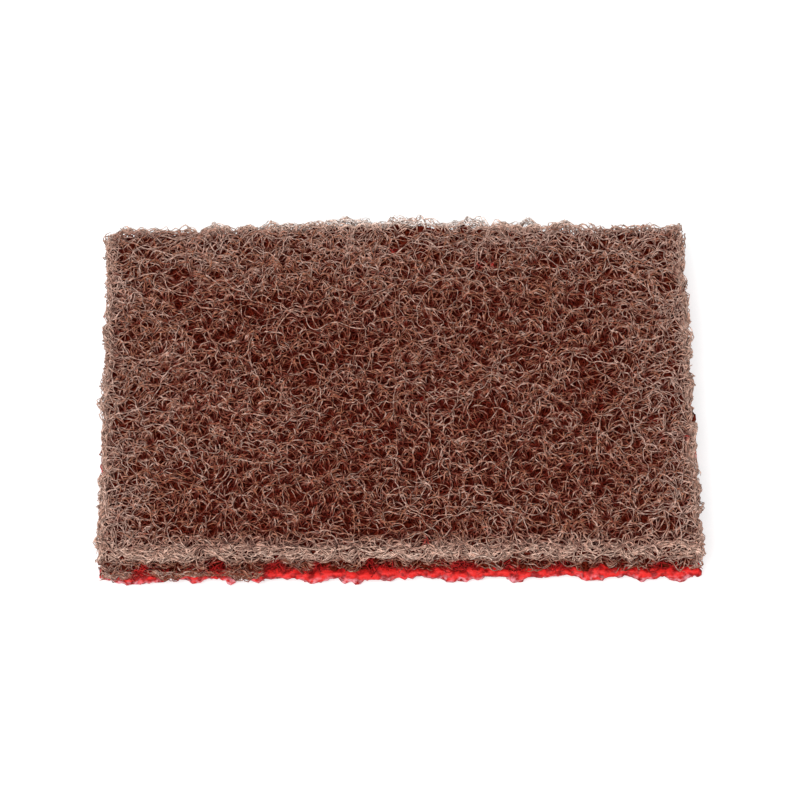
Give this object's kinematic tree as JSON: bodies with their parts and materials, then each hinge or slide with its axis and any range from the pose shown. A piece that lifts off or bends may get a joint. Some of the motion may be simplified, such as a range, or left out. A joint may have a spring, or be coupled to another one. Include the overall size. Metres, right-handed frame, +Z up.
{
  "type": "non-woven abrasive pad",
  "caption": "Rectangular scouring pad: a brown lofty web of abrasive fibres with ragged cut edges, on a red resin coat that hangs in lumps underneath.",
  "frame": {"origin": "middle of the footprint, on the surface that the pad lies on", "axes": "+X along the pad's length, +Y along its width away from the viewer, +Z up through its thickness"},
  "size_m": [0.1522, 0.1022, 0.0155],
  "materials": {
    "web_fibre": "matt open fibre web with abrasive resin",
    "red_resin": "semi-gloss, uneven"
  },
  "bodies": {
    "root": {"fibre_web": "web_fibre", "resin_coat": "red_resin"}
  },
  "joints": []
}
